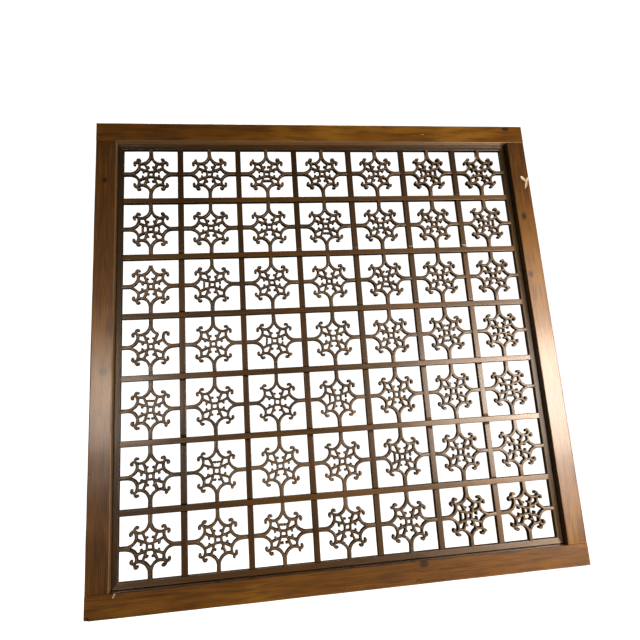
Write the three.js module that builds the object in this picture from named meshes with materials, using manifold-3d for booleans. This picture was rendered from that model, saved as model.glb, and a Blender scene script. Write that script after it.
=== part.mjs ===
// A square wooden lattice panel: an outer frame of four boards, a thin mitred inner
// frame, a grid of half-lapped square bars, and one fretwork ornament in every cell.
// Millimetres. X runs to the right, Z up, and the front faces -Y.
// The origin is the middle of the top rail's back face, where the panel is fixed to a wall.

import * as THREE from 'three';
import { mergeVertices } from 'three/addons/utils/BufferGeometryUtils.js';
import Module from 'manifold-3d';

const wasm = await Module();
wasm.setup();

// Driving dimensions of the lattice
const columns = 7;
const rows = 7;
const cellClear = 116;        // clear side of one square cell
const barWidth = 12;          // face width of a grid bar
const barDepth = 12;          // front to back
const gap = 0.3;              // clearance between touching pieces

// Driving dimensions of the two frames
const stripWidth = 12;        // face width of an inner strip
const stripDepth = 13;        // front to back, flush with the bars in front
const boardWidth = 43;        // face width of an outer board
const boardDepth = 38;        // front to back
const latticeSetback = 16;    // from the boards' front to the bars' front

// Corner joints of the outer frame
const cornerTenonLength = 25;
const cornerTenonWidth = 28;
const cornerTenonDepth = 12;

// The ornament
const ornamentDepth = 10;     // front to back
const ornamentSetback = 1;    // from the bars' front to the ornament's front
const stemWidth = 7.5;        // the four stems that reach the cell's sides
const rowTenonHeight = 4;     // where a row runs on through a vertical bar
const rowTenonDepth = 5;
const rowTenonRoot = 6;       // how far the tenon's box reaches back into each stem
const breakWidth = 6;         // the piece missing from one broken arm

// The fretwork's corner points, as shares of half the cell: x across, y along the stem
const shoulder = 0.6;                    // where a stem splits into its two arms
const neck = { x: 0.4, y: 0.47 };        // behind a hook, at the bay's far end
const hookTip = { x: 0.43, y: 0.7 };     // a hook's tip
const kite = { tip: 0.55, side: 0.19, waist: 0.405, foot: 0.13 };
const brokenArm = { x: 0.21, y: 0.5 };   // middle of the broken stretch

// Worked out from the dimensions above
const pitch = cellClear + barWidth;
const openingWidth = columns * cellClear + (columns - 1) * barWidth;
const openingHeight = rows * cellClear + (rows - 1) * barWidth;
const stripsWidth = openingWidth + 2 * stripWidth;
const stripsHeight = openingHeight + 2 * stripWidth;
const frameInnerWidth = stripsWidth + 2 * gap;
const frameInnerHeight = stripsHeight + 2 * gap;
const panelWidth = frameInnerWidth + 2 * boardWidth;
const stileHeight = frameInnerHeight - 2 * gap;
const centreZ = -(frameInnerHeight + boardWidth) / 2;
const boardsFront = -boardDepth;
const barsFront = boardsFront + latticeSetback;
const barsMiddle = barsFront + barDepth / 2;
const ornamentMiddle = barsFront + ornamentSetback + ornamentDepth / 2;
const halfCell = cellClear / 2;

const boardWood = new THREE.MeshStandardMaterial({ color: '#7d5128', roughness: 0.42, metalness: 0 });
const stripWood = new THREE.MeshStandardMaterial({ color: '#5f3d20', roughness: 0.5, metalness: 0 });
const barWood = new THREE.MeshStandardMaterial({ color: '#6a4726', roughness: 0.5, metalness: 0 });
const carvedWood = new THREE.MeshStandardMaterial({ color: '#5b4129', roughness: 0.6, metalness: 0 });

const panel = new THREE.Group();

// How a flat outline is stood up: its x, its y, and the way it is extruded
const seenFromFront = new THREE.Matrix4().makeBasis(
  new THREE.Vector3(1, 0, 0), new THREE.Vector3(0, 0, 1), new THREE.Vector3(0, -1, 0));
const seenFromSide = new THREE.Matrix4().makeBasis(
  new THREE.Vector3(0, 1, 0), new THREE.Vector3(0, 0, 1), new THREE.Vector3(1, 0, 0));
const seenFromAbove = new THREE.Matrix4();

function path(points) {
  return new THREE.Shape(points.map(([x, y]) => new THREE.Vector2(x, y)));
}

// A straight-sided piece with the given outline, centred on its own thickness
function prism(outline, thickness, view, holes = []) {
  const shape = path(outline);
  shape.holes = holes.map(path);
  const geometry = new THREE.ExtrudeGeometry(shape, { depth: thickness, bevelEnabled: false });
  geometry.translate(0, 0, -thickness / 2);
  geometry.applyMatrix4(view);
  return geometry;
}

function box(width, depth, height, x, y, z) {
  const geometry = new THREE.BoxGeometry(width, depth, height);
  geometry.translate(x, y, z);
  return geometry;
}

function toSolid(geometry) {
  const bare = geometry.clone();
  bare.deleteAttribute('normal');
  bare.deleteAttribute('uv');
  const merged = mergeVertices(bare, 1e-4);
  return new wasm.Manifold(new wasm.Mesh({
    numProp: 3,
    vertProperties: new Float32Array(merged.attributes.position.array),
    triVerts: new Uint32Array(merged.index.array),
  }));
}

function toGeometry(solid) {
  const mesh = solid.getMesh();
  const geometry = new THREE.BufferGeometry();
  geometry.setAttribute('position', new THREE.BufferAttribute(mesh.vertProperties, 3));
  geometry.setIndex(new THREE.BufferAttribute(mesh.triVerts, 1));
  return geometry;
}

function join(geometries) {
  return toGeometry(geometries.map(toSolid).reduce((whole, next) => whole.add(next)));
}

function cut(geometry, tools) {
  return toGeometry(tools.map(toSolid).reduce((left, tool) => left.subtract(tool), toSolid(geometry)));
}

function place(name, geometry, material, x, y, z) {
  const mesh = new THREE.Mesh(geometry, material);
  mesh.name = name;
  mesh.position.set(x, y, z);
  panel.add(mesh);
}

// Places along the grid, counted from 1 at the left or at the top
const columnX = (column) => (column - (columns + 1) / 2) * pitch;
const rowZ = (row) => centreZ + ((rows + 1) / 2 - row) * pitch;
const verticalBarX = (bar) => columnX(bar) + pitch / 2;
const horizontalBarZ = (bar) => rowZ(bar) - pitch / 2;

// Outer frame: the rails run the full width, and the stiles stand between them
// on hidden tenons
function outerFrame() {
  const railZ = (frameInnerHeight + boardWidth) / 2;
  const stileX = (frameInnerWidth + boardWidth) / 2;
  const middleY = boardsFront + boardDepth / 2;
  for (const [name, side] of [['top_rail', 1], ['bottom_rail', -1]]) {
    const mortises = [-1, 1].map((end) => box(
      cornerTenonWidth + 2 * gap, cornerTenonDepth + 2 * gap, 2 * (cornerTenonLength + gap),
      end * stileX, 0, -side * boardWidth / 2));
    const rail = cut(new THREE.BoxGeometry(panelWidth, boardDepth, boardWidth), mortises);
    place(name, rail, boardWood, 0, middleY, centreZ + side * railZ);
  }
  for (const [name, side] of [['left_stile', -1], ['right_stile', 1]]) {
    const stile = join([
      new THREE.BoxGeometry(boardWidth, boardDepth, stileHeight),
      new THREE.BoxGeometry(cornerTenonWidth, cornerTenonDepth, stileHeight + 2 * cornerTenonLength),
    ]);
    place(name, stile, boardWood, side * stileX, middleY, centreZ);
  }
}

// Inner frame: four thin strips, mitred at the corners
function innerFrame() {
  const mitre = stripWidth;
  const middleY = barsFront + stripDepth / 2;
  const strip = (length) => [
    [-length / 2 + gap, stripWidth / 2],
    [-length / 2 + mitre + gap, -stripWidth / 2],
    [length / 2 - mitre - gap, -stripWidth / 2],
    [length / 2 - gap, stripWidth / 2],
  ];
  const turned = (points, quarter) => points.map(([x, y]) => {
    const angle = quarter * Math.PI / 2;
    return [x * Math.cos(angle) - y * Math.sin(angle), x * Math.sin(angle) + y * Math.cos(angle)];
  });
  const sides = [
    ['inner_strip_top', stripsWidth, 0, 0, (openingHeight + stripWidth) / 2],
    ['inner_strip_left', stripsHeight, 1, -(openingWidth + stripWidth) / 2, 0],
    ['inner_strip_bottom', stripsWidth, 2, 0, -(openingHeight + stripWidth) / 2],
    ['inner_strip_right', stripsHeight, 3, (openingWidth + stripWidth) / 2, 0],
  ];
  for (const [name, length, quarter, x, z] of sides) {
    const outline = turned(strip(length), quarter);
    place(name, prism(outline, stripDepth, seenFromFront), stripWood, x, middleY, centreZ + z);
  }
}

// A bar's long outline with a half-deep notch wherever it crosses another bar.
// It is drawn along the bar, with its depth across, and open to the side `side`.
function lappedOutline(length, crossings, side) {
  const edge = side * barDepth / 2;
  const bottom = -side * gap / 2;
  const half = barWidth / 2 + gap;
  const notches = crossings.flatMap((at) => [
    [at - half, edge], [at - half, bottom], [at + half, bottom], [at + half, edge]]);
  const outline = [
    [-length / 2, -edge], [-length / 2, edge], ...notches, [length / 2, edge], [length / 2, -edge]];
  return side > 0 ? outline.reverse() : outline;
}

const isFusedRow = (row) => row === 1 || row === rows;

// Grid: the horizontal bars pass in front at every crossing and are notched at the back, and
// the vertical bars are notched in front. The end rows of ornaments run on through the
// vertical bars on small tenons.
function verticalBars() {
  const length = openingHeight - 2 * gap;
  const crossings = Array.from({ length: rows - 1 }, (_, i) => horizontalBarZ(rows - 1 - i) - centreZ);
  const outline = lappedOutline(length, crossings, -1).map(([along, depth]) => [depth, along]).reverse();
  const bar = prism(outline, barWidth, seenFromSide);
  const mortises = [];
  for (let row = 1; row <= rows; row += 1) {
    if (!isFusedRow(row)) continue;
    mortises.push(box(
      2 * barWidth, rowTenonDepth + 2 * gap, rowTenonHeight + 2 * gap,
      0, ornamentMiddle - barsMiddle, rowZ(row) - centreZ));
  }
  for (let number = 1; number < columns; number += 1) {
    place(`vertical_bar_${number}`, cut(bar, mortises), barWood, verticalBarX(number), barsMiddle, centreZ);
  }
}

function horizontalBars() {
  const length = openingWidth - 2 * gap;
  const crossings = Array.from({ length: columns - 1 }, (_, i) => verticalBarX(i + 1));
  const bar = prism(lappedOutline(length, crossings, 1), barWidth, seenFromAbove);
  for (let number = 1; number < rows; number += 1) {
    place(`horizontal_bar_${number}`, bar, barWood, 0, barsMiddle, horizontalBarZ(number));
  }
}

// Turns a point a quarter turn clockwise, `times` times
function quarterTurns([x, y], times) {
  return times === 0 ? [x, y] : quarterTurns([y, -x], times - 1);
}

// One fretwork ornament, drawn once for the right half of its top stem and then
// mirrored and turned. A stem that has broken away leaves only the point of its arms.
function ornament({ lostStem = -1, brokenArmAtTop = false } = {}) {
  const stem = [[stemWidth / 2, halfCell - gap]];
  const arm = [
    [stemWidth / 2, shoulder * halfCell],
    [neck.x * halfCell, neck.y * halfCell],
    [hookTip.x * halfCell, hookTip.y * halfCell],
  ];
  const mirrored = (points) => points.map(([x, y]) => [-x, y]).reverse();
  const outline = [];
  const holes = [];
  for (let side = 0; side < 4; side += 1) {
    const whole = side === lostStem ? [] : stem;
    const points = [...mirrored([...whole, ...arm]), ...whole, ...arm];
    outline.push(...points.map((point) => quarterTurns(point, side)));
    holes.push([
      [0, kite.tip], [kite.side, kite.waist], [0, kite.foot], [-kite.side, kite.waist],
    ].map(([x, y]) => quarterTurns([x * halfCell, y * halfCell], side)));
  }
  const solid = prism(outline.reverse(), ornamentDepth, seenFromFront, holes);
  if (!brokenArmAtTop) return solid;
  const missing = box(
    breakWidth, 2 * ornamentDepth, halfCell / 3, brokenArm.x * halfCell, 0, brokenArm.y * halfCell);
  return cut(solid, [missing]);
}

// The two ornaments that have lost wood: a whole top stem, and a stretch of one arm
const damaged = {
  '3_1': { lostStem: 0 },
  '4_1': { brokenArmAtTop: true },
};

function ornaments() {
  for (let row = 1; row <= rows; row += 1) {
    if (isFusedRow(row)) {
      const pieces = [];
      for (let column = 1; column <= columns; column += 1) {
        pieces.push(ornament().translate(columnX(column), 0, 0));
      }
      for (let number = 1; number < columns; number += 1) {
        pieces.push(box(
          barWidth + 2 * (gap + rowTenonRoot), rowTenonDepth, rowTenonHeight,
          verticalBarX(number), 0, 0));
      }
      place(`ornament_row_${row}`, join(pieces), carvedWood, 0, ornamentMiddle, rowZ(row));
      continue;
    }
    for (let column = 1; column <= columns; column += 1) {
      const cell = `${row}_${column}`;
      place(`ornament_${cell}`, ornament(damaged[cell]), carvedWood,
        columnX(column), ornamentMiddle, rowZ(row));
    }
  }
}

outerFrame();
innerFrame();
verticalBars();
horizontalBars();
ornaments();

export default panel;
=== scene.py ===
# %% [markdown]
# # A wooden lattice panel, modelled in Blender
#
# The real object is a square window panel of stained fir: four flat boards outside, four thin
# mitred strips inside them, a grid of twelve lapped bars, and one sawn and carved ornament in
# each of the 49 cells. This lesson builds those 69 pieces one kind at a time, around a fixed
# frame that gives every piece its place and size.

# %% Load the frame
from math import atan2, degrees, pi, radians

import bpy
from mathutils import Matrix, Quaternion, Vector


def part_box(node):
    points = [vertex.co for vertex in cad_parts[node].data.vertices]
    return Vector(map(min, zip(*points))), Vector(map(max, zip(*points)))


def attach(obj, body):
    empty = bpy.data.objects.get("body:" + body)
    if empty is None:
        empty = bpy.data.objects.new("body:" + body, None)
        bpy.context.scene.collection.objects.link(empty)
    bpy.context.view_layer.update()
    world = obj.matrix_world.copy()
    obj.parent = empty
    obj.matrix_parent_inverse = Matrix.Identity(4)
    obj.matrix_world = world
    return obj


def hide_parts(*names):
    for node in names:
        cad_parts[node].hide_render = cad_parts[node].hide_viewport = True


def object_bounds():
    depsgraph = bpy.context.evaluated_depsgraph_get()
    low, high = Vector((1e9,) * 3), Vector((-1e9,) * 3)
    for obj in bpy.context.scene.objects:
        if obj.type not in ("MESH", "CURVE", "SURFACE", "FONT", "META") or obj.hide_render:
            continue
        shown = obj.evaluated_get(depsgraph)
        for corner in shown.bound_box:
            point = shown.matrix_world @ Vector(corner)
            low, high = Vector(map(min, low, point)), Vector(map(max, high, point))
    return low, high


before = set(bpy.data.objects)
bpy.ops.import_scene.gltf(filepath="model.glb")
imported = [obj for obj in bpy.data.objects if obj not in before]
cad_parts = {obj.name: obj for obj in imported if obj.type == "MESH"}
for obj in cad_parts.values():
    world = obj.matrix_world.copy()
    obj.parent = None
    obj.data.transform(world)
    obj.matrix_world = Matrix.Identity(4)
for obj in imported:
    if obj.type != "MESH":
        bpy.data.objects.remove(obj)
CAD_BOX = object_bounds()
MM = 0.001

# %% [markdown]
# ## Sizes that everything else uses
#
# The panel hangs upright: X runs to the right, Z upwards, and its front faces -Y. The sizes are
# read from the solids, so a changed frame changes the model too. Row 1 is the top row, and
# column 1 is on the left.

# %% Read the sizes
COLUMNS = ROWS = 7
panel_low, panel_high = (Vector(corner) for corner in CAD_BOX)
rail_low, rail_high = (Vector(corner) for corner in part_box("top_rail"))
bottom_low, bottom_high = (Vector(corner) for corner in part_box("bottom_rail"))
bar_low, bar_high = (Vector(corner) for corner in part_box("vertical_bar_1"))
next_low = Vector(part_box("vertical_bar_2")[0])
carved_low, carved_high = (Vector(corner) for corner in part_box("ornament_2_2"))

PITCH = next_low.x - bar_low.x
BAR_WIDTH = bar_high.x - bar_low.x
HALF_CELL = (PITCH - BAR_WIDTH) / 2
BOARD_WIDTH = rail_high.z - rail_low.z
CENTRE_Z = (panel_low.z + panel_high.z) / 2


def cell_centre(row, column):
    """The middle of a cell, on the line of the ornaments' depth."""
    x = (column - (COLUMNS + 1) / 2) * PITCH
    z = CENTRE_Z + ((ROWS + 1) / 2 - row) * PITCH
    return Vector((x, (carved_low.y + carved_high.y) / 2, z))


print("pitch", round(PITCH / MM, 1), "mm, bar", round(BAR_WIDTH / MM, 1), "mm")

# %% [markdown]
# ## The camera
#
# The photograph was taken from a little left of the middle and below it, close up and with a
# wide lens. The place and the direction come from fitting the grid's lines. The picture's middle
# is a little below the lens's axis, which is what shift_y says.

# %% Place the camera
CAMERA_PLACE = Vector((-0.1993, -1.2007, -0.6440))
CAMERA_LOOK = Vector((0.1433, 0.9642, 0.2230))
CAMERA_ROLL = radians(-3.844)
CAMERA_SENSOR = 36
CAMERA_LENS = 31.39
CAMERA_SHIFT_Y = -0.0453

bpy.ops.object.camera_add(location=CAMERA_PLACE)
camera = bpy.context.active_object
camera.name = "camera"
aim = CAMERA_LOOK.to_track_quat("-Z", "Y")
camera.rotation_euler = (aim @ Quaternion((0, 0, 1), CAMERA_ROLL)).to_euler()
camera.data.sensor_width = CAMERA_SENSOR
camera.data.lens = CAMERA_LENS
camera.data.shift_y = CAMERA_SHIFT_Y
bpy.context.scene.camera = camera
print("camera looks up by", round(degrees(atan2(CAMERA_LOOK.z, CAMERA_LOOK.y)), 1), "degrees")

# %% [markdown]
# ## Helpers for modelling by hand
#
# Operators act on what is selected, so each helper first clears the selection. A block starts as
# a cube primitive, is given the size and place of a box, and has both applied, so that its object
# stays at the origin. Without settings, transform_apply applies place, turn and size. Edges are
# selected by a test on their two ends.

# %% Selection, blocks and modifiers
SMOOTH_ANGLE = 35


def select_only(*objects):
    """Leaves edit mode and selects just these objects, the first one active."""
    if bpy.context.mode != "OBJECT":
        bpy.ops.object.mode_set(mode="OBJECT")
    bpy.ops.object.select_all(action="DESELECT")
    for item in objects:
        item.select_set(True)
    if objects:
        bpy.context.view_layer.objects.active = objects[0]


def add_block(name, low, high):
    """A cube primitive that fills the box from low to high."""
    select_only()
    low, high = Vector(low), Vector(high)
    bpy.ops.mesh.primitive_cube_add(size=1, location=(low + high) / 2, scale=high - low)
    block = bpy.context.active_object
    block.name = block.data.name = name
    bpy.ops.object.transform_apply()
    return block


def edit_edges(piece, test):
    """Enters edit mode with those edges selected whose two ends pass the test."""
    select_only(piece)
    bpy.context.tool_settings.mesh_select_mode = (False, True, False)
    mesh = piece.data
    for part in (mesh.vertices, mesh.edges, mesh.polygons):
        part.foreach_set("select", [False] * len(part))
    for edge in mesh.edges:
        ends = [mesh.vertices[index].co for index in edge.vertices]
        edge.select = test(*ends)
    bpy.ops.object.mode_set(mode="EDIT")


def apply_modifier(piece, kind, **settings):
    """Adds a modifier with these settings and applies it."""
    select_only(piece)
    modifier = piece.modifiers.new(kind.lower(), kind)
    for key, value in settings.items():
        setattr(modifier, key, value)
    bpy.ops.object.modifier_apply(modifier=modifier.name)


def set_smooth(piece):
    """Smooth shading that keeps sharp edges, and the flats flat next to a rounded arris."""
    select_only(piece)
    bpy.ops.object.shade_smooth_by_angle(angle=radians(SMOOTH_ANGLE))
    apply_modifier(piece, "WEIGHTED_NORMAL", keep_sharp=True)


def triangles(piece):
    return sum(len(face.vertices) - 2 for face in piece.data.polygons)


pieces = {}


def finish_piece(piece, slot, *nodes):
    """The piece hangs with the panel, stands for its solids and is kept by name."""
    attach(piece, "root")
    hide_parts(*nodes)
    pieces[piece.name] = piece


# %% [markdown]
# ## Uneven surfaces
#
# Hand planing and a century of handling leave no surface quite flat. Three cloud textures serve
# the Displace modifier: a broad one for the plane's long waves, a middle one for the drift of
# the carver's hand, and a fine one for torn wood. They are read in the panel's own space, so no
# two pieces get the same dents.

# %% Cloud textures for displacement
def cloud_texture(name, size):
    texture = bpy.data.textures.new(name, "CLOUDS")
    texture.noise_scale = size
    texture.noise_depth = 2
    return texture


PLANING_WAVES = cloud_texture("planing_waves", 60 * MM)
WEAR_SPOTS = cloud_texture("wear_spots", 14 * MM)
CARVING_DRIFT = cloud_texture("carving_drift", 30 * MM)


def add_wear(piece, strength, texture=PLANING_WAVES, direction="NORMAL"):
    """Moves the surface in and out by up to half the strength."""
    apply_modifier(piece, "DISPLACE", texture=texture, texture_coords="GLOBAL",
                   strength=strength, mid_level=0.5, direction=direction)


# %% [markdown]
# ## The outer boards
#
# The two rails run the full width, and the stiles stand between them, so each corner shows a
# butt line. A board is a block whose long edges are cut into short lengths, so that it can
# carry dents. Its arrises are bevelled, since years of hands and dusters round them, but those
# of the rails that meet the stiles stay nearly sharp.

# %% Model the four boards
ARRIS = 2.2 * MM
END_ARRIS = 0.7 * MM
TIGHT_ARRIS = 0.5 * MM
PLANING_DEPTH = 0.7 * MM
WEAR_STEP = 8 * MM
NEAR = 0.01 * MM


def lies_along(axis):
    """A test for edges that run along an axis."""
    def test(a, b):
        difference = b - a
        return abs(difference[axis]) > NEAR and difference.length - abs(difference[axis]) < NEAR
    return test


def crosses(axis, place):
    """A test for edges that lie square across an axis at one place."""
    def test(a, b):
        return abs(a[axis] - place) < NEAR and abs(b[axis] - place) < NEAR
    return test


def worn_board(name, low, high, axis, arris=ARRIS, waves=PLANING_DEPTH, tight_side=None):
    """A planed board along an axis, with rounded long edges and slightly eased ends. Its edges
    on the tight side, a Z place, stay nearly sharp."""
    board = add_block(name, low, high)
    length = Vector(high)[axis] - Vector(low)[axis]
    for end in (Vector(low)[axis], Vector(high)[axis]):
        edit_edges(board, crosses(axis, end))
        bpy.ops.mesh.bevel(offset=END_ARRIS, segments=1)
    runs_along = lies_along(axis)
    if tight_side is not None:
        edit_edges(board, lambda a, b: runs_along(a, b) and abs(a.z - tight_side) < NEAR)
        bpy.ops.mesh.bevel(offset=TIGHT_ARRIS, segments=1)
        edit_edges(board, lambda a, b: runs_along(a, b) and abs(a.z - tight_side) > BOARD_WIDTH / 2)
    else:
        edit_edges(board, runs_along)
    bpy.ops.mesh.bevel(offset=arris, segments=3)
    edit_edges(board, runs_along)
    bpy.ops.mesh.subdivide(number_cuts=round(length / WEAR_STEP))
    if waves:
        add_wear(board, waves)
    set_smooth(board)
    return board


stile_top = rail_low.z
stile_bottom = bottom_high.z
JOINT = 0.15 * MM

# low and high corner, axis along the board, Z of the side that stays sharp
BOARDS = {
    "top_rail": (rail_low, rail_high, 0, rail_low.z),
    "bottom_rail": (bottom_low, bottom_high, 0, bottom_high.z),
    "left_stile": ((panel_low.x, panel_low.y, stile_bottom + JOINT),
                   (panel_low.x + BOARD_WIDTH, panel_high.y, stile_top - JOINT), 2, None),
    "right_stile": ((panel_high.x - BOARD_WIDTH, panel_low.y, stile_bottom + JOINT),
                    (panel_high.x, panel_high.y, stile_top - JOINT), 2, None),
}
boards = {}
for name, (low, high, axis, tight_side) in BOARDS.items():
    boards[name] = worn_board("board_" + name, low, high, axis, tight_side=tight_side)
    print(name, triangles(boards[name]), "triangles")

# %% [markdown]
# ## Chips and dents
#
# The real boards have a few deep scars: two crossing gouges on the right stile that show bare
# wood, a chip at the inner corner at the bottom left, and a broken outer corner below it. Each
# is cut by a stretched ball with a Boolean modifier, which passes the ball's material on to the
# cut. A fresh chip gets the bare wood, and an old one gets the stain of the board.

# %% Cut the scars
bare_fir = bpy.data.materials.new("bare_fir")
stain_placeholder = bpy.data.materials.new("stain_placeholder")
# board, then x, z, length, width and depth of the scar in mm, its turn in degrees, its wood
SCARS = [
    ("right_stile", (484.0, -116.0, 19, 8.0, 2.4), 135, bare_fir),
    ("right_stile", (490.0, -127.0, 34, 7.0, 2.6), 70, bare_fir),
    ("bottom_rail", (-444.5, -934.0, 11, 4.0, 1.6), 62, bare_fir),
    ("bottom_rail", (129.0, -964.5, 20, 3.0, 1.4), 8, stain_placeholder),
    ("bottom_rail", (-493.0, -971.5, 12, 9.0, 7.0), 40, stain_placeholder),
    ("top_rail", (243.7, -2.0, 14, 2.4, 1.0), 20, stain_placeholder),
]


def cut_scar(board, measures, turn, material):
    """Takes a stretched ball out of the board's front."""
    x, z, length, width, depth = (measure * MM for measure in measures)
    select_only()
    bpy.ops.mesh.primitive_ico_sphere_add(
        subdivisions=3, radius=1, location=(x, panel_low.y, z),
        rotation=(0, radians(-turn), 0), scale=(length / 2, depth, width / 2))
    cutter = bpy.context.active_object
    bpy.ops.object.transform_apply()
    add_wear(cutter, width / 2, WEAR_SPOTS, direction="RGB_TO_XYZ")
    cutter.data.materials.append(material)
    apply_modifier(board, "BOOLEAN", object=cutter, operation="DIFFERENCE", solver="EXACT",
                   material_mode="TRANSFER")
    select_only(cutter)
    bpy.ops.object.delete()


for board in boards.values():
    board.data.materials.append(stain_placeholder)
for board_name, *scar in SCARS:
    cut_scar(boards[board_name], *scar)
for name, board in boards.items():
    set_smooth(board)
    finish_piece(board, "board_wood", name)
print(len(SCARS), "scars cut")

# %% [markdown]
# ## The inner strips
#
# Four thin strips line the boards and hold the grid. Their corners are mitred. Each one starts
# as a block of the outer length, and the edge at each end, on the side of the opening, is moved
# inwards by the strip's width to make the 45 degree cut. The blocks are a little too long, so
# the mitres close tightly. The front slopes back towards the opening, the right strip's most,
# which gives the strips their own shine.

# %% Model the four strips
STRIP_ARRIS = 1.4 * MM
STRIP_CUTS = 90
STRIP_PLANING = 0.6 * MM
MITRE_OVERLAP = 0.5 * MM
# the axis along the strip, the axis across it, the side of the opening, the slope of the front
STRIPS = {
    "inner_strip_top": (0, 2, -1, 0.8 * MM),
    "inner_strip_bottom": (0, 2, 1, 0.8 * MM),
    "inner_strip_left": (2, 0, 1, 0.8 * MM),
    "inner_strip_right": (2, 0, -1, 2.2 * MM),
}


def mitred_strip(node, along, across, inward, slope):
    """A strip in the place of a node, mitred at both ends, with a sloping front."""
    low, high = (Vector(corner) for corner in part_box(node))
    low[along] -= MITRE_OVERLAP
    high[along] += MITRE_OVERLAP
    strip = add_block("lining_" + node, low, high)
    width = high[across] - low[across]
    opening = high[across] if inward > 0 else low[across]
    on_lip, in_front = crosses(across, opening), crosses(1, low.y)
    for end, sign in ((low[along], 1), (high[along], -1)):
        at_end = crosses(along, end)
        edit_edges(strip, lambda a, b: at_end(a, b) and on_lip(a, b))
        move = [0, 0, 0]
        move[along] = sign * width
        bpy.ops.transform.translate(value=move)
    edit_edges(strip, lambda a, b: in_front(a, b) and on_lip(a, b))
    bpy.ops.transform.translate(value=(0, slope, 0))
    edit_edges(strip, lies_along(along))
    bpy.ops.mesh.bevel(offset=STRIP_ARRIS, segments=3)
    edit_edges(strip, lies_along(along))
    bpy.ops.mesh.subdivide(number_cuts=STRIP_CUTS)
    add_wear(strip, STRIP_PLANING)
    set_smooth(strip)
    finish_piece(strip, "strip_wood", node)
    return strip


for node, layout in STRIPS.items():
    strip = mitred_strip(node, *layout)
    print(node, triangles(strip), "triangles")

# %% [markdown]
# ## The grid of lapped bars
#
# Six bars run up and six run across. Where they cross, the upright one is notched in front
# and the level one at the back, each by half its depth, so the level one passes in front. One
# bar of each kind is modelled: a block with rounded long edges, and notches cut by a row of
# blocks, which an Array modifier lays out. The others are copies, each with its own mesh.

# %% Model one bar of each kind and copy it
BAR_ARRIS = 1.3 * MM
LAP_GAP = 0.1 * MM
BARS = COLUMNS - 1


def lapped_bar(name, node, axis, notch_front):
    """A bar along an axis with six notches, in its front half or its back half."""
    low, high = (Vector(corner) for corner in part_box(node))
    bar = worn_board(name, low, high, axis, arris=BAR_ARRIS, waves=0)
    half_depth = (low.y + high.y) / 2
    across = 0 if axis == 2 else 2
    middle = Vector(((low.x + high.x) / 2, half_depth, (low.z + high.z) / 2))
    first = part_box(f"horizontal_bar_{BARS}" if axis == 2 else "vertical_bar_1")[0][axis]
    notch_low, notch_high = middle.copy(), middle.copy()
    notch_low[axis], notch_high[axis] = first - LAP_GAP, first + BAR_WIDTH + LAP_GAP
    notch_low[across] -= BAR_WIDTH
    notch_high[across] += BAR_WIDTH
    notch_low.y = low.y - BAR_WIDTH if notch_front else half_depth
    notch_high.y = half_depth if notch_front else high.y + BAR_WIDTH
    cutter = add_block("notch", notch_low, notch_high)
    step = [0, 0, 0]
    step[axis] = PITCH
    apply_modifier(cutter, "ARRAY", count=BARS, use_relative_offset=False,
                   use_constant_offset=True, constant_offset_displace=step)
    apply_modifier(bar, "BOOLEAN", object=cutter, operation="DIFFERENCE", solver="EXACT")
    select_only(cutter)
    bpy.ops.object.delete()
    return bar


def copy_piece(piece, name, move):
    """A copy with its own mesh, moved and applied, so its object stays at the origin."""
    select_only(piece)
    bpy.ops.object.duplicate()
    copy = bpy.context.active_object
    copy.name = copy.data.name = name
    copy.location = move
    bpy.ops.object.transform_apply()
    return copy


# the axis along the bar, whether its notches are in front, the step to the next bar
BAR_KINDS = {
    "vertical": (2, True, Vector((PITCH, 0, 0))),
    "horizontal": (0, False, Vector((0, 0, -PITCH))),
}
for kind, (axis, notch_front, step) in BAR_KINDS.items():
    first_bar = lapped_bar(f"bar_{kind}_1", f"{kind}_bar_1", axis, notch_front)
    bars = [first_bar]
    for number in range(1, BARS):
        bars.append(copy_piece(first_bar, f"bar_{kind}_{number + 1}", step * number))
    for number, bar in enumerate(bars, start=1):
        add_wear(bar, PLANING_DEPTH)
        set_smooth(bar)
        finish_piece(bar, "bar_wood", f"{kind}_bar_{number}")
    print(len(bars), kind, "bars of", triangles(first_bar), "triangles")

# %% [markdown]
# ## The figure of the ornament
#
# Every cell holds the same traditional figure, sawn from one flat piece and rounded with a
# knife: four stems, each forking into two arms, four leaf-shaped eyes towards the corners, each
# ending in a pair of curled hooks, a small square in the middle, and short spurs between. The
# figure repeats every quarter turn and is its own mirror image, so only the eighth to the right
# of the upper stem is drawn. All numbers are shares of half the clear cell. Each stroke has a
# width and a row of Bezier curves.

# %% Describe one eighth of the figure
STROKES = {
    "arm": (0.104, [((0.014, 0.78), (0.030, 0.60), (0.13, 0.485), (0.25, 0.448))]),
    "neck": (0.092, [((0.25, 0.448), (0.33, 0.425), (0.40, 0.43), (0.475, 0.470))]),
    "hook": (0.080, [((0.462, 0.462), (0.505, 0.505), (0.518, 0.568), (0.474, 0.608)),
                     ((0.474, 0.608), (0.455, 0.625), (0.428, 0.626), (0.412, 0.600))]),
    "eye": (0.088, [((0.25, 0.448), (0.215, 0.37), (0.155, 0.29), (0.135, 0.13))]),
    "square": (0.076, [((0.135, 0.13), (0.125, 0.10), (0.06, 0.098), (0, 0.098))]),
    "spur": (0.062, [((0.175, 0.285), (0.15, 0.300), (0.12, 0.300), (0.09, 0.290))]),
}
STEM_WIDTH = 0.138
STEM_FOOT = 0.64
STEM_SOCKET = 2 * MM
BULBS = {"hook": 0.052, "spur": 0.043}
SPUR_REACH = 0.09
SPUR_BEND = 0.02
CARVED_DEPTH = carved_high.y - carved_low.y
EIGHTHS = [(quarter, mirrored) for quarter in range(4) for mirrored in (False, True)]


def turned(point, quarter, mirrored):
    """A point of the first eighth, mirrored and turned clockwise into another eighth."""
    u, v = (-point[0], point[1]) if mirrored else point
    for _ in range(quarter):
        u, v = v, -u
    return u, v


print(len(STROKES), "strokes in", len(EIGHTHS), "eighths")

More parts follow.
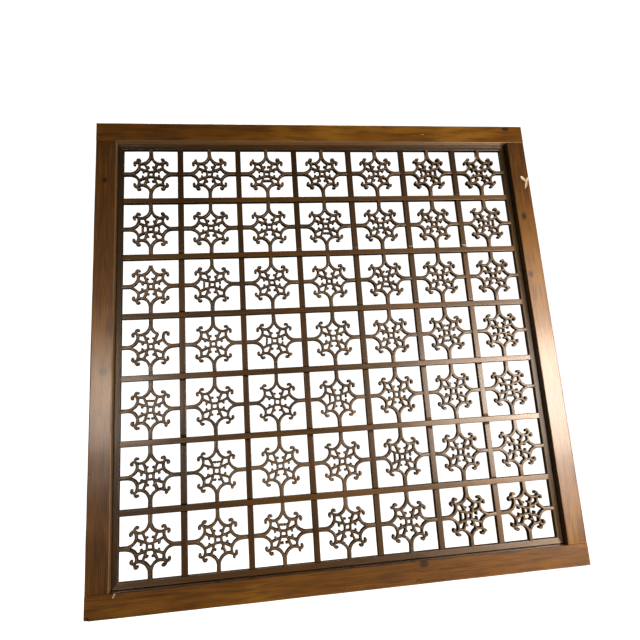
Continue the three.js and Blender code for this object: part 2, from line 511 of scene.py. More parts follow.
# %% [markdown]
# ## Drawing, thickening and fusing the strokes
#
# A stroke is a curve whose bevel is a second, closed curve: the section that a saw and a knife
# leave, flat in front, with straight sides and eased corners. The curves lie flat, so the
# drawing is made flat and stood up at the end. All the parts become meshes, are joined,
# and a voxel Remesh fuses them into one skin, as the real figure is one piece of wood. A little
# smoothing rounds the crotches, and Decimate keeps the mesh small.

# %% Helpers that carve one ornament
VOXEL = 0.62 * MM
EASED_CORNER = 1.2 * MM
ORNAMENT_TRIANGLES = 13000


def empty_curve(name):
    """A curve object without splines."""
    select_only()
    bpy.ops.curve.primitive_bezier_curve_add()
    drawing = bpy.context.active_object
    drawing.name = name
    drawing.data.splines.clear()
    return drawing


def stroke_section(width):
    """The closed outline of a sawn stroke's section, with eased corners."""
    section = empty_curve("section")
    section.data.dimensions = "2D"
    half, deep, ease = width * HALF_CELL / 2, CARVED_DEPTH / 2, EASED_CORNER
    outline = [(half, ease - deep), (half, deep - ease), (half - ease, deep),
               (ease - half, deep), (-half, deep - ease), (-half, ease - deep),
               (ease - half, -deep), (half - ease, -deep)]
    spline = section.data.splines.new("POLY")
    spline.points.add(len(outline) - 1)
    for point, (across, up) in zip(spline.points, outline):
        point.co = (across, up, 0, 1)
    spline.use_cyclic_u = True
    return section


def draw_strokes(width, strokes):
    """One mesh of sawn strokes, drawn in shares of half the cell."""
    section = stroke_section(width)
    drawing = empty_curve("strokes")
    curve = drawing.data
    curve.dimensions = "3D"
    curve.twist_mode = "Z_UP"
    curve.resolution_u = 10
    curve.bevel_mode = "OBJECT"
    curve.bevel_object = section
    curve.use_fill_caps = True
    for segments in strokes:
        spline = curve.splines.new("BEZIER")
        spline.bezier_points.add(len(segments))
        for index, (start, leave, arrive, end) in enumerate(segments):
            first, second = spline.bezier_points[index], spline.bezier_points[index + 1]
            for point in (first, second):
                point.handle_left_type = point.handle_right_type = "FREE"
            first.co = (*(HALF_CELL * s for s in start), 0)
            first.handle_right = (*(HALF_CELL * s for s in leave), 0)
            second.handle_left = (*(HALF_CELL * s for s in arrive), 0)
            second.co = (*(HALF_CELL * s for s in end), 0)
        spline.bezier_points[0].handle_left = spline.bezier_points[0].co
        spline.bezier_points[-1].handle_right = spline.bezier_points[-1].co
    select_only(drawing)
    bpy.ops.object.convert(target="MESH")
    strokes_mesh = bpy.context.active_object
    select_only(section)
    bpy.ops.object.delete()
    return strokes_mesh


def add_stem(quarter):
    """A stem from its fork to a little way into the bar, with eased corners."""
    half = STEM_WIDTH / 2 * HALF_CELL
    stem = add_block("stem", (-half, STEM_FOOT * HALF_CELL, -CARVED_DEPTH / 2),
                     (half, HALF_CELL + STEM_SOCKET, CARVED_DEPTH / 2))
    edit_edges(stem, lies_along(1))
    bpy.ops.mesh.bevel(offset=EASED_CORNER, segments=2)
    select_only(stem)
    stem.rotation_euler = (0, 0, -quarter * pi / 2)
    bpy.ops.object.transform_apply()
    return stem


def add_bulb(place, radius):
    """A round end, sawn through the depth of the wood."""
    select_only()
    bpy.ops.mesh.primitive_cylinder_add(vertices=20, radius=radius * HALF_CELL, depth=CARVED_DEPTH,
                                        location=(*(HALF_CELL * s for s in place), 0))
    bulb = bpy.context.active_object
    edit_edges(bulb, lambda a, b: abs(a.z - b.z) < NEAR)
    bpy.ops.mesh.bevel(offset=EASED_CORNER, segments=1)
    select_only(bulb)
    bpy.ops.object.transform_apply()
    return bulb


def carve_ornament(name, lost=(), spur_reach=None, stub_hooks=()):
    """One figure. lost holds the (stroke, eighth) and ("stem", quarter) pairs that broke off."""
    parts = [add_stem(quarter) for quarter in range(4) if ("stem", quarter) not in lost]
    for stroke, (width, segments) in STROKES.items():
        drawn = []
        start, leave, arrive, end = segments[0]
        for number, (quarter, mirrored) in enumerate(EIGHTHS):
            if (stroke, number) in lost:
                continue
            kept = segments
            if stroke == "hook" and number in stub_hooks:
                kept = [(start, leave, leave, arrive)]
            if stroke == "spur":
                tip = (spur_reach or {}).get(number, SPUR_REACH)
                kept = [(start, leave, (tip + SPUR_BEND, arrive[1]), (tip, end[1]))]
            drawn.append([[turned(point, quarter, mirrored) for point in bend] for bend in kept])
            if stroke in BULBS:
                parts.append(add_bulb(drawn[-1][-1][-1], BULBS[stroke]))
        parts.append(draw_strokes(width, drawn))
    select_only(parts[0], *parts[1:])
    bpy.ops.object.join()
    ornament = bpy.context.active_object
    ornament.name = ornament.data.name = name
    apply_modifier(ornament, "REMESH", mode="VOXEL", voxel_size=VOXEL)
    apply_modifier(ornament, "SMOOTH", factor=0.5, iterations=2)
    apply_modifier(ornament, "DECIMATE", ratio=ORNAMENT_TRIANGLES / triangles(ornament))
    select_only(ornament)
    ornament.rotation_euler = (pi / 2, 0, 0)
    bpy.ops.object.transform_apply()
    return ornament


# %% [markdown]
# ## Whole and broken patterns
#
# No two ornaments on the real panel are quite alike. Three patterns are carved whole, with
# uneven spurs and a blunt hook here and there. Two more are broken as on the panel: one has lost
# its upper stem, and one has lost a piece of an arm with a hook. Eighths are numbered clockwise
# from the upper stem, each quarter first right of its stem and then left of it.

# %% Carve the patterns
PATTERNS = {
    "even": dict(spur_reach={0: 0.085, 2: 0.075, 3: 0.095, 5: 0.08, 6: 0.10}),
    "touching": dict(spur_reach={0: 0.04, 1: 0.04, 4: 0.055, 5: 0.07, 7: 0.105}, stub_hooks=(5,)),
    "worn": dict(spur_reach={0: 0.11, 1: 0.07, 2: 0.115, 6: 0.11}, stub_hooks=(2,)),
    "lost_stem": dict(lost=(("stem", 0),), spur_reach={0: 0.07, 1: 0.10}),
    "lost_arm": dict(lost=(("neck", 0), ("hook", 0), ("spur", 2)), spur_reach={4: 0.11}),
}
patterns = {}
for name, choices in PATTERNS.items():
    patterns[name] = carve_ornament(name, **choices)
    print(name, triangles(patterns[name]), "triangles")

# %% [markdown]
# ## Setting the ornaments into the cells
#
# Each cell gets a copy of a pattern, turned by a quarter more than its neighbour and now and
# then flipped left to right. Four in the right corners are sawn from thicker wood. A little
# drift in all directions, read at the ornament's own place, gives every one the small errors of
# hand carving. A flip turns a mesh inside out, so its normals are recalculated.

# %% Copy, turn and place
BROKEN = {(3, 1): "lost_stem", (4, 1): "lost_arm"}
THICKER = {(7, 6): 1.3, (7, 7): 1.25, (1, 6): 1.15, (1, 7): 1.15}
WHOLE = ("even", "touching", "worn")
CARVING_ERROR = 3.2 * MM


def set_ornament(row, column):
    """The ornament of one cell, with its own mesh in place."""
    broken = BROKEN.get((row, column))
    pattern = broken or WHOLE[(row + 2 * column) % len(WHOLE)]
    quarter = 0 if broken else (row * 3 + column) % 4
    flipped = not broken and (row + column) % 2 == 1
    select_only(patterns[pattern])
    bpy.ops.object.duplicate()
    ornament = bpy.context.active_object
    ornament.name = ornament.data.name = f"ornament_{row}_{column}_carved"
    ornament.rotation_euler = (0, quarter * pi / 2, 0)
    ornament.scale = (-1 if flipped else 1, THICKER.get((row, column), 1), 1)
    ornament.location = cell_centre(row, column)
    bpy.ops.object.transform_apply()
    if flipped:
        bpy.ops.object.mode_set(mode="EDIT")
        bpy.ops.mesh.select_all(action="SELECT")
        bpy.ops.mesh.normals_make_consistent(inside=False)
        bpy.ops.object.mode_set(mode="OBJECT")
    add_wear(ornament, CARVING_ERROR, CARVING_DRIFT, direction="RGB_TO_XYZ")
    select_only(ornament)
    bpy.ops.object.shade_smooth()
    node = f"ornament_row_{row}" if row in (1, ROWS) else f"ornament_{row}_{column}"
    finish_piece(ornament, "carved_wood", node)
    return ornament


ornaments = [set_ornament(row, column)
             for row in range(1, ROWS + 1) for column in range(1, COLUMNS + 1)]
select_only(*patterns.values())
bpy.ops.object.delete()
print(len(ornaments), "ornaments,", sum(triangles(piece) for piece in ornaments), "triangles")

# %% [markdown]
# ## A helper for materials
#
# Every finish here is a node tree. One function adds any node, sets its properties, and gives
# each input a value or a link. Colours are written as sRGB hex values and turned to linear.

# %% Colours and nodes
def linear(hex_colour):
    """An sRGB hex colour as linear red, green, blue and alpha."""
    channels = [int(hex_colour[i:i + 2], 16) / 255 for i in (1, 3, 5)]
    return [c / 12.92 if c <= 0.04045 else ((c + 0.055) / 1.055) ** 2.4 for c in channels] + [1]


def add_node(tree, kind, inputs=None, stops=None, **settings):
    """Adds a node of the type ShaderNode + kind. An input is a socket, a value or a hex colour,
    and a ramp's stops are pairs of a place and a hex colour or a grey value."""
    node = tree.nodes.new("ShaderNode" + kind)
    for key, value in settings.items():
        setattr(node, key, value)
    for key, value in (inputs or {}).items():
        if isinstance(value, bpy.types.NodeSocket):
            tree.links.new(value, node.inputs[key])
        else:
            node.inputs[key].default_value = linear(value) if isinstance(value, str) else value
    if stops:
        elements = node.color_ramp.elements
        while len(elements) < len(stops):
            elements.new(0.5)
        for element, (place, colour) in zip(elements, stops):
            element.position = place
            element.color = linear(colour) if isinstance(colour, str) else (*[colour] * 3, 1)
    return node


def empty_tree(material):
    """The material's node tree, with the default nodes taken out."""
    material.use_nodes = True
    material.node_tree.nodes.clear()
    return material.node_tree


# The colour sockets of a Mix node, which also has hidden ones of the same names.
MIX_FACTOR, MIX_A, MIX_B, MIX_RESULT = 0, 6, 7, 2
print("linear mid grey", round(linear("#808080")[0], 3))

# %% [markdown]
# ## The grain of fir
#
# Fir is sawn into boards whose growth rings cross the face almost squarely, so they show as
# fine lines along the board, four to five millimetres apart, each one a soft pale band and a
# narrow dark one. They are drawn as in the tree: cylinders round the pith, which lies far to one
# side, bent by slow noise. Fibres are a second, much finer noise stretched along the grain,
# streaks a broader one, where the stain took unevenly, and clouds the slow drift of the tone.

# %% Rings, fibres, clouds and streaks
RING_SPACING = 4.6 * MM
RING_WAVER = 5.0
WAVE_PERIOD = 2 * pi / 20
GRAIN_BEND = 30 * MM
BEND_SCALE = (1.5, 9, 9)
ALONG_GRAIN = {0: (0, 0, 0), 2: (0, pi / 2, 0)}
# size across the grain, how much the noise is drawn out along it, detail, roughness
GRAIN_NOISES = {
    "fibres": (1.2 * MM, 0.014, 3.0, 0.6),
    "streaks": (9 * MM, 0.14, 4.0, 0.5),
    "clouds": (90 * MM, 0.35, 3.0, 0.5),
}


def lay_grain(tree, place, along):
    """Coordinates with X along the grain: straight ones, and the same bent by slow noise."""
    straight = add_node(tree, "Mapping", inputs={
        "Vector": place, "Rotation": ALONG_GRAIN[along]}).outputs[0]
    slow = add_node(tree, "Mapping", inputs={
        "Vector": straight, "Scale": BEND_SCALE}).outputs[0]
    bend = add_node(tree, "TexNoise", inputs={
        "Vector": slow, "Scale": 1.0, "Detail": 2.0}).outputs["Color"]
    lean = add_node(tree, "VectorMath", operation="SCALE", inputs={
        0: bend, "Scale": GRAIN_BEND}).outputs[0]
    bent = add_node(tree, "VectorMath", operation="ADD", inputs={
        0: straight, 1: lean}).outputs[0]
    return straight, bent


def ring_lines(tree, grain, pith, spacing):
    """Growth rings round the pith, from 0 to 1 in each ring."""
    centred = add_node(tree, "Mapping", inputs={
        "Vector": grain, "Location": pith}).outputs[0]
    return add_node(
        tree, "TexWave", wave_type="RINGS", rings_direction="X", wave_profile="SIN",
        inputs={"Vector": centred, "Scale": WAVE_PERIOD / spacing, "Distortion": RING_WAVER,
                "Detail": 3.0, "Detail Scale": 0.8}).outputs["Fac"]


def grain_noise(tree, grain, name):
    """Fibres, streaks or clouds, drawn out along the grain."""
    size, drawn_out, detail, roughness = GRAIN_NOISES[name]
    scaled = add_node(tree, "Mapping", inputs={
        "Vector": grain, "Scale": (drawn_out, 1, 1)}).outputs[0]
    return add_node(tree, "TexNoise", inputs={
        "Vector": scaled, "Scale": 1 / size, "Detail": detail,
        "Roughness": roughness}).outputs["Fac"]


print("rings every", round(RING_SPACING / MM, 1), "mm")

# %% [markdown]
# ## Knots
#
# A knot is the foot of a branch, cut across: a dark disc with a darker rim, 12 to 17 mm wide,
# and the grain parts to flow round it. The boards show six. The pattern's own coordinates are
# pushed away from each knot, which bends the ring lines, and the distance to the nearest knot,
# in knot radii, gives the disc.

# %% Where the knots are
# x and z of the middle, then the radii along x and z, in mm
RAIL_KNOTS = [(455.7, 14.7, 6.5, 4.5), (144.6, -936.9, 7.0, 5.0)]
STILE_KNOTS = [(-476.6, -114.2, 4.0, 5.0), (-472.3, -525.1, 4.5, 6.0),
               (469.8, -210.7, 4.5, 6.5), (464.8, -352.0, 4.0, 5.5)]
KNOT_REACH = 4.5
KNOT_PUSH = 0.75
KNOT_STAIN = 2.0


def add_knots(tree, place, knots):
    """The coordinates bent round the knots, and the distance to the nearest knot in radii."""
    bent, nearest = place, None
    for knot in knots:
        x, z, radius_x, radius_z = (measure * MM for measure in knot)
        offset = add_node(tree, "VectorMath", operation="SUBTRACT",
                          inputs={0: place, 1: (x, panel_low.y, z)}).outputs[0]
        in_radii = add_node(tree, "VectorMath", operation="DIVIDE",
                            inputs={0: offset, 1: (radius_x, 1, radius_z)}).outputs[0]
        distance = add_node(tree, "VectorMath", operation="LENGTH",
                            inputs={0: in_radii}).outputs["Value"]
        push = add_node(tree, "MapRange", interpolation_type="SMOOTHSTEP", inputs={
            "Value": distance, "From Max": KNOT_REACH,
            "To Min": -KNOT_PUSH, "To Max": 0.0}).outputs[0]
        shift = add_node(tree, "VectorMath", operation="SCALE",
                         inputs={0: offset, "Scale": push}).outputs[0]
        bent = add_node(tree, "VectorMath", operation="ADD",
                        inputs={0: bent, 1: shift}).outputs[0]
        if nearest is None:
            nearest = distance
        else:
            nearest = add_node(tree, "Math", operation="MINIMUM",
                               inputs={0: nearest, 1: distance}).outputs[0]
    return bent, nearest


print(len(RAIL_KNOTS) + len(STILE_KNOTS), "knots")

# %% [markdown]
# ## Varnished boards
#
# The outer boards are fir, planed, stained brown and varnished to a satin shine. What the eye
# gets is orange brown lines over a darker ground, a broad soft glare where the window is
# mirrored, and worn pale outer arrises. The edges next to the grid carry painted light, pale on
# the top rail and the left stile, and painted shade, near black on the bottom rail and the right
# stile. Both stiles took more stain towards the top. The glare comes from the varnish, so it is
# the shader's coat, and the wood below stays matt. The layers of colour are laid one over the
# other, each by its share.

# %% Colours of the boards, and a varnish for all the wood
DARK_STAIN = "#452505"
LATE_WOOD = "#331a03"
PALE_FIBRE = "#a8742b"
KNOT_WOOD = "#2a1404"
RUBBED_EDGE = "#b08c58"
# painted shade and painted light: a near black and a pale grey brown that stand for shade and light
PAINTED_SHADE = "#170d06"
PAINTED_LIGHT_TINT = "#9f8461"
EDGE_WIDTH = 1.8 * MM
INNER_EDGE = 0.2 * MM
OUTER_EDGE = 0.4 * MM
STILE_SHADE = -450 * MM
RAIL_PITH = (0, 0.02, 0.13)
STILE_PITH = (0, 0.02, 0.05)


def varnish(tree, tone, layers, rough, fibres, coat, coat_roughness):
    """Lays each layer, a share and a colour, over the ones before it, and varnishes the wood."""
    colour = tone
    for share, layer in layers:
        colour = add_node(tree, "Mix", data_type="RGBA", inputs={
            MIX_FACTOR: share, MIX_A: colour, MIX_B: layer}).outputs[MIX_RESULT]
    normal = add_node(tree, "Bump", inputs={
        "Height": fibres, "Strength": 0.5, "Distance": 0.25 * MM}).outputs[0]
    shader = add_node(tree, "BsdfPrincipled", inputs={
        "Base Color": colour, "Roughness": rough, "Normal": normal,
        "IOR": 1.5, "Coat Weight": coat, "Coat IOR": 1.6, "Coat Roughness": coat_roughness})
    add_node(tree, "OutputMaterial", inputs={"Surface": shader.outputs[0]})


# %% Make the boards' finish
def varnished_fir(name, along, pith, knots):
    """The outer boards: satin brown varnish over clear growth rings and knots."""
    material = bpy.data.materials.new(name)
    tree = empty_tree(material)
    place = add_node(tree, "TexCoord").outputs["Object"]
    round_knots, knot_distance = add_knots(tree, place, knots)
    straight, bent = lay_grain(tree, round_knots, along)
    rings = ring_lines(tree, bent, pith, RING_SPACING)
    fibres = grain_noise(tree, bent, "fibres")

    # the stain, uneven in streaks and darker towards the top of the stiles
    tone = add_node(tree, "ValToRGB", inputs={
        0: grain_noise(tree, straight, "clouds")}, stops=[
            (0.32, "#664007"), (0.50, "#8b5a0f"), (0.66, "#b07d22")]).outputs[0]
    uneven_share = add_node(tree, "MapRange", inputs={
        "Value": grain_noise(tree, bent, "streaks"),
        "From Min": 0.58, "From Max": 0.36, "To Max": 0.6}).outputs[0]
    axes = add_node(tree, "SeparateXYZ", inputs={0: place}).outputs
    upper_share = add_node(tree, "MapRange", inputs={
        "Value": axes["Z"], "From Min": STILE_SHADE, "From Max": stile_top,
        "To Max": 0.9 if along == 2 else 0.0}).outputs[0]
    dark_share = add_node(tree, "Math", operation="MAXIMUM", inputs={
        0: uneven_share, 1: upper_share}).outputs[0]

    # rings, fibres and knots
    late_share = add_node(tree, "MapRange", inputs={
        "Value": rings, "From Min": 0.25, "From Max": 1.0, "To Max": 0.26}).outputs[0]
    pale_share = add_node(tree, "MapRange", inputs={
        "Value": fibres, "From Min": 0.45, "From Max": 0.72, "To Max": 0.55}).outputs[0]
    knot_place = add_node(tree, "Math", operation="DIVIDE", inputs={
        0: knot_distance, 1: KNOT_STAIN}).outputs[0]
    knot_share = add_node(tree, "ValToRGB", inputs={0: knot_place}, stops=[
        (0.0, 0.84), (0.30, 0.80), (0.45, 0.94), (0.58, 0.5), (0.95, 0.0)]).outputs[0]

    # inner edges: painted light on the top rail and left stile, painted shade on the other two
    from_middle = add_node(tree, "Math", operation="SUBTRACT", inputs={
        0: axes["X" if along == 2 else "Z"], 1: 0.0 if along == 2 else CENTRE_Z}).outputs[0]
    outwards = add_node(tree, "Math", operation="ABSOLUTE", inputs={
        0: from_middle}).outputs[0]
    opening = panel_high.x - BOARD_WIDTH
    inner = add_node(tree, "MapRange", interpolation_type="SMOOTHSTEP", inputs={
        "Value": outwards, "From Min": opening + INNER_EDGE, "From Max": opening + EDGE_WIDTH,
        "To Min": 0.88, "To Max": 0.0}).outputs[0]
    sideways = add_node(tree, "Math", operation="ABSOLUTE", inputs={
        0: axes["X"]}).outputs[0]
    beside_grid = add_node(tree, "Math", operation="LESS_THAN", inputs={
        0: sideways, 1: opening + EDGE_WIDTH}).outputs[0]
    painted_edge_share = add_node(tree, "Math", operation="MULTIPLY", inputs={
        0: inner, 1: beside_grid}).outputs[0]
    # painted shade on the right stile and the bottom rail, painted light on the top rail and left
    # stile
    shaded_side = "GREATER_THAN" if along == 2 else "LESS_THAN"
    in_shade = add_node(tree, "Math", operation=shaded_side, inputs={
        0: from_middle, 1: 0.0}).outputs[0]
    edge_light_and_shade = add_node(tree, "Mix", data_type="RGBA", inputs={
        MIX_FACTOR: in_shade, MIX_A: PAINTED_LIGHT_TINT, MIX_B: PAINTED_SHADE}).outputs[MIX_RESULT]

    # the outer arris, rubbed pale in front
    outer = add_node(tree, "MapRange", inputs={
        "Value": outwards, "From Min": panel_high.x - EDGE_WIDTH,
        "From Max": panel_high.x - OUTER_EDGE, "To Max": 0.7}).outputs[0]
    in_front = add_node(tree, "MapRange", inputs={
        "Value": axes["Y"], "From Min": panel_low.y + EDGE_WIDTH,
        "From Max": panel_low.y + OUTER_EDGE}).outputs[0]
    rubbed_share = add_node(tree, "Math", operation="MULTIPLY", inputs={
        0: outer, 1: in_front}).outputs[0]

    rough = add_node(tree, "MapRange", inputs={
        "Value": rings, "To Min": 0.38, "To Max": 0.62}).outputs[0]
    layers = ((dark_share, DARK_STAIN), (late_share, LATE_WOOD), (pale_share, PALE_FIBRE),
              (knot_share, KNOT_WOOD), (painted_edge_share, edge_light_and_shade), (rubbed_share, RUBBED_EDGE))
    varnish(tree, tone, layers, rough, fibres, coat=1.0, coat_roughness=0.25)
    return material


rail_fir = varnished_fir("varnished_fir_level", 0, RAIL_PITH, RAIL_KNOTS)
stile_fir = varnished_fir("varnished_fir_upright", 2, STILE_PITH, STILE_KNOTS)
print(len(rail_fir.node_tree.nodes), "nodes in the boards' finish")

# %% [markdown]
# ## Bare wood in the chips
#
# A chip breaks through stain and varnish, and shows the pale, matt, fibrous wood below. The
# material was made empty before the cuts, so that the Boolean could carry it along. Here it gets
# its nodes.

# %% Make the bare wood
tree = empty_tree(bare_fir)
place = add_node(tree, "TexCoord").outputs["Object"]
fibres = grain_noise(tree, lay_grain(tree, place, 2)[1], "fibres")
colour = add_node(tree, "ValToRGB", inputs={0: fibres}, stops=[
    (0.30, "#b79a78"), (0.50, "#e6d6bd"), (0.72, "#f4ebdc")]).outputs[0]
normal = add_node(tree, "Bump", inputs={
    "Height": fibres, "Strength": 0.8, "Distance": 0.4 * MM}).outputs[0]
shader = add_node(tree, "BsdfPrincipled", inputs={
    "Base Color": colour, "Roughness": 0.85, "Normal": normal})
add_node(tree, "OutputMaterial", inputs={"Surface": shader.outputs[0]})
print(bare_fir.name, "has", len(tree.nodes), "nodes")

# %% [markdown]
# ## Stained strips, bars and carvings
#
# The thin pieces are the same fir, stained darker. Their fronts are rubbed and varnished, and
# mirror the window as the boards do. Their sides lie in the depth of the grid and get painted
# shade, almost black. So the colour goes from the fibre pattern to painted shade as the surface
# turns away from the front or the back, which the Y part of the object's own normal tells. The
# lower and right strips get paler tones as painted light, and the grid is painted paler towards
# the right, where the window is.

# %% Make the finish of the thin pieces
THIN_SPACING = 2.8 * MM
THIN_PITH = (0, 0.02, 0.11)
UPPER_END = -300 * MM
PAINTED_LIGHT_START = -100 * MM


def stained_fir(name, along, tones, side_shade, right_painted_light, roughness, coat, coat_roughness):
    """Thin stained pieces. tones are the dark, middle and pale hex colours of the front."""
    material = bpy.data.materials.new(name)
    tree = empty_tree(material)
    dark, middle, pale = tones
    coordinates = add_node(tree, "TexCoord").outputs
    place = coordinates["Object"]
    straight, bent = lay_grain(tree, place, along)
    rings = ring_lines(tree, bent, THIN_PITH, THIN_SPACING)
    fibres = grain_noise(tree, bent, "fibres")
    tone = add_node(tree, "ValToRGB", inputs={
        0: grain_noise(tree, straight, "clouds")}, stops=[
            (0.32, dark), (0.5, middle), (0.7, pale)]).outputs[0]
    pale_share = add_node(tree, "MapRange", inputs={
        "Value": fibres, "From Min": 0.46, "From Max": 0.62, "To Max": 0.7}).outputs[0]
    late_share = add_node(tree, "MapRange", inputs={
        "Value": rings, "From Min": 0.3, "From Max": 0.95, "To Max": 0.4}).outputs[0]
    axes = add_node(tree, "SeparateXYZ", inputs={0: place}).outputs
    # painted light: paler towards the right, where the window is
    painted_light_share = add_node(tree, "MapRange", inputs={
        "Value": axes["X"], "From Min": PAINTED_LIGHT_START, "From Max": panel_high.x,
        "To Max": right_painted_light}).outputs[0]
    upper_share = add_node(tree, "MapRange", inputs={
        "Value": axes["Z"], "From Min": UPPER_END, "From Max": stile_top,
        "To Max": 0.8 if along == 2 else 0.0}).outputs[0]
    # painted shade: sides turned away from the front and the back go near black
    facing = add_node(tree, "SeparateXYZ", inputs={
        0: coordinates["Normal"]}).outputs["Y"]
    squareness = add_node(tree, "Math", operation="ABSOLUTE", inputs={
        0: facing}).outputs[0]
    painted_shade_share = add_node(tree, "MapRange", interpolation_type="SMOOTHSTEP", inputs={
        "Value": squareness, "From Min": 0.95, "From Max": 0.6, "To Max": side_shade}).outputs[0]
    rough = add_node(tree, "MapRange", inputs={
        "Value": fibres, "To Min": roughness - 0.1, "To Max": roughness + 0.1}).outputs[0]
    layers = ((pale_share, pale), (late_share, dark), (painted_light_share, PAINTED_LIGHT_TINT), (upper_share, dark),
              (painted_shade_share, PAINTED_SHADE))
    varnish(tree, tone, layers, rough, fibres, coat, coat_roughness)
    return material


UPPER_TONES = ("#251705", "#3b260b", "#5b3e17")
# the axis along the strip, its front's tones with painted light, the painted light to the right
STRIP_TONES_AND_LIGHT = {
    "top": (0, UPPER_TONES, 0.0),
    "left": (2, UPPER_TONES, 0.0),
    # painted light: the lower strip's paler tones
    "bottom": (0, ("#352108", "#55370f", "#7b5421"), 0.45),
    # painted highlight: the right strip's pale grey tones stand for the glare on its front
    "right": (2, ("#3d2b12", "#644c2b", "#977a54"), 0.0),
}
BAR_TONES = {0: ("#342106", "#53370d", "#7d571f"), 2: ("#2c1b05", "#462e0c", "#6c4a1e")}
CARVED_TONES = ("#33281a", "#5a4833", "#917a60")

strip_fir = {}
for side, (axis, tones, right_painted_light) in STRIP_TONES_AND_LIGHT.items():
    strip_fir[side] = stained_fir(f"stained_fir_strip_{side}", axis, tones, side_shade=0.75,
                                  right_painted_light=right_painted_light, roughness=0.45,
                                  coat=1.0, coat_roughness=0.27)
bar_fir = {}
for axis, tones in BAR_TONES.items():
    bar_fir[axis] = stained_fir(f"stained_fir_bar_{axis}", axis, tones, side_shade=0.96,
                                right_painted_light=0.38, roughness=0.45,
                                coat=0.85, coat_roughness=0.25)
carved_fir = stained_fir("rubbed_carved_fir", 0, CARVED_TONES, side_shade=1.0, right_painted_light=0.3,
                         roughness=0.5, coat=0.6, coat_roughness=0.27)
print(len(carved_fir.node_tree.nodes), "nodes in the thin pieces' finish")

# %% [markdown]
# ## Putting the finishes on
#
# A chipped board already has two materials, so the finish goes into its first place and the
# bare wood stays in the second. Every other piece gets one finish.

# %% Assign the finishes
def dress(piece, material):
    if piece.data.materials:
        piece.data.materials[0] = material
    else:
        piece.data.materials.append(material)


for name, piece in pieces.items():
    if name.startswith("board"):
        dress(piece, rail_fir if "rail" in name else stile_fir)
    elif name.startswith("lining"):
        dress(piece, strip_fir[name.split("_")[-1]])
    elif name.startswith("bar"):
        dress(piece, bar_fir[0 if "horizontal" in name else 2])
    else:
        dress(piece, carved_fir)
bpy.data.materials.remove(stain_placeholder)
print(len(pieces), "pieces dressed in", len(bpy.data.materials), "finishes")

# %% [markdown]
# ## Floor and backdrop
#
# The panel hangs in a round studio of white paper: a disc whose rim is pulled up to a wall, with
# a round bend at its foot. The paper glows a little, so it stays white behind the dark wood, but
# it is hidden from diffuse and mirrored rays, so that it does not light up the sides of the grid.

# %% Stage the round sweep
FLOOR_DROP = 0.42
FLOOR_Z = panel_low.z - FLOOR_DROP
SWEEP_RADIUS, SWEEP_HEIGHT = 5.0, 5.0
SWEEP_BEND = 1.2

select_only()
bpy.ops.mesh.primitive_circle_add(vertices=96, radius=SWEEP_RADIUS, fill_type="NGON",
                                  location=(0, 0, FLOOR_Z))
sweep = bpy.context.active_object
sweep.name = sweep.data.name = "sweep"
bpy.ops.object.transform_apply()

on_the_floor = crosses(2, FLOOR_Z)
edit_edges(sweep, on_the_floor)
bpy.ops.mesh.extrude_region_move(TRANSFORM_OT_translate={"value": (0, 0, SWEEP_HEIGHT)})
edit_edges(sweep, on_the_floor)
bpy.ops.mesh.bevel(offset=SWEEP_BEND, segments=12)
select_only(sweep)
bpy.ops.object.shade_smooth()

paper = bpy.data.materials.new("white_paper_sweep")
paper_tree = empty_tree(paper)
paper_shader = add_node(paper_tree, "BsdfPrincipled", inputs={
    "Base Color": "#f6f5f2", "Roughness": 0.9, "Emission Color": "#ffffff",
    "Emission Strength": 1.1})
add_node(paper_tree, "OutputMaterial", inputs={"Surface": paper_shader.outputs[0]})
dress(sweep, paper)
sweep.visible_glossy = False
sweep.visible_diffuse = False
print("floor", round(FLOOR_Z, 2), "m")

# %% [markdown]
# ## Lamps
#
# A window at the right, close to the panel and in four panes, makes the broad shine on the right
# stile and on the grid beside it. A weaker one at the left gives the left stile its patch of
# shine. Two low lamps are the light that a wooden floor throws back, so they are warmer, and
# brighten the bottom rail. One above and behind the panel shows its back. Powers are in watts.

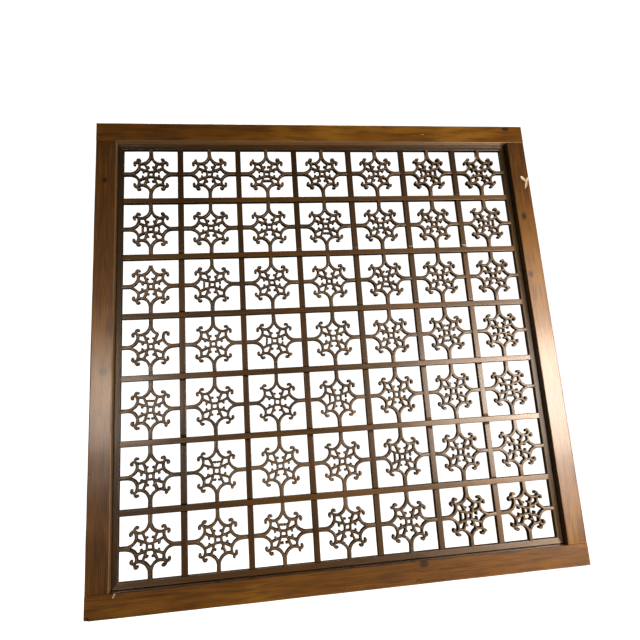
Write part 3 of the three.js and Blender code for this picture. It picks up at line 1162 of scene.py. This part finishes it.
# %% Hang the lamps
WINDOW_LIGHT = "#ffecda"
ROOM_LIGHT = "#ffd79a"
FRONT_TARGET = (0.1, 0, -0.45)
LOW_TARGET = (0.45, 0, -0.9)
BACK_TARGET = (0, 0, -0.5)
# name, place, target, width and height, power, colour
LAMPS = [
    ("window_right", (0.98, -0.95, -0.60), FRONT_TARGET, (0.32, 0.44), 9.2, WINDOW_LIGHT),
    ("window_right_low", (0.92, -0.95, -0.95), FRONT_TARGET, (0.30, 0.26), 1.2, WINDOW_LIGHT),
    ("window_right_high", (1.0, -0.95, -0.25), FRONT_TARGET, (0.28, 0.33), 0.9, WINDOW_LIGHT),
    ("window_middle", (0.62, -0.95, -0.60), FRONT_TARGET, (0.26, 0.45), 2.2, WINDOW_LIGHT),
    ("window_left", (-0.85, -1.7, -0.5), FRONT_TARGET, (0.30, 0.40), 4.8, WINDOW_LIGHT),
    ("low_right", (1.20, -0.80, -1.50), LOW_TARGET, (0.40, 0.30), 8.0, ROOM_LIGHT),
    ("floor_bounce", (0.35, -0.5, -1.45), FRONT_TARGET, (0.90, 0.40), 1.8, ROOM_LIGHT),
    ("room_behind", (0.0, 1.8, 1.8), BACK_TARGET, (1.60, 0.80), 34.0, WINDOW_LIGHT),
]
WORLD_STRENGTH = 0.04


def soft_box(name, place, target, size, power, colour):
    """A rectangular lamp that faces a point and isn't seen itself."""
    bpy.ops.object.light_add(type="AREA", location=place)
    lamp = bpy.context.active_object
    lamp.name = lamp.data.name = name
    lamp.data.shape = "RECTANGLE"
    lamp.data.size, lamp.data.size_y = size
    lamp.data.energy = power
    lamp.data.color = linear(colour)[:3]
    lamp.rotation_euler = (Vector(target) - Vector(place)).to_track_quat("-Z", "Y").to_euler()
    lamp.visible_camera = False


for lamp_setup in LAMPS:
    soft_box(*lamp_setup)

world = bpy.data.worlds.new("room")
bpy.context.scene.world = world
world.use_nodes = True
background = world.node_tree.nodes["Background"]
background.inputs["Color"].default_value = linear(ROOM_LIGHT)
background.inputs["Strength"].default_value = WORLD_STRENGTH
bpy.context.scene.view_settings.view_transform = "Standard"
print(len(LAMPS), "lamps")
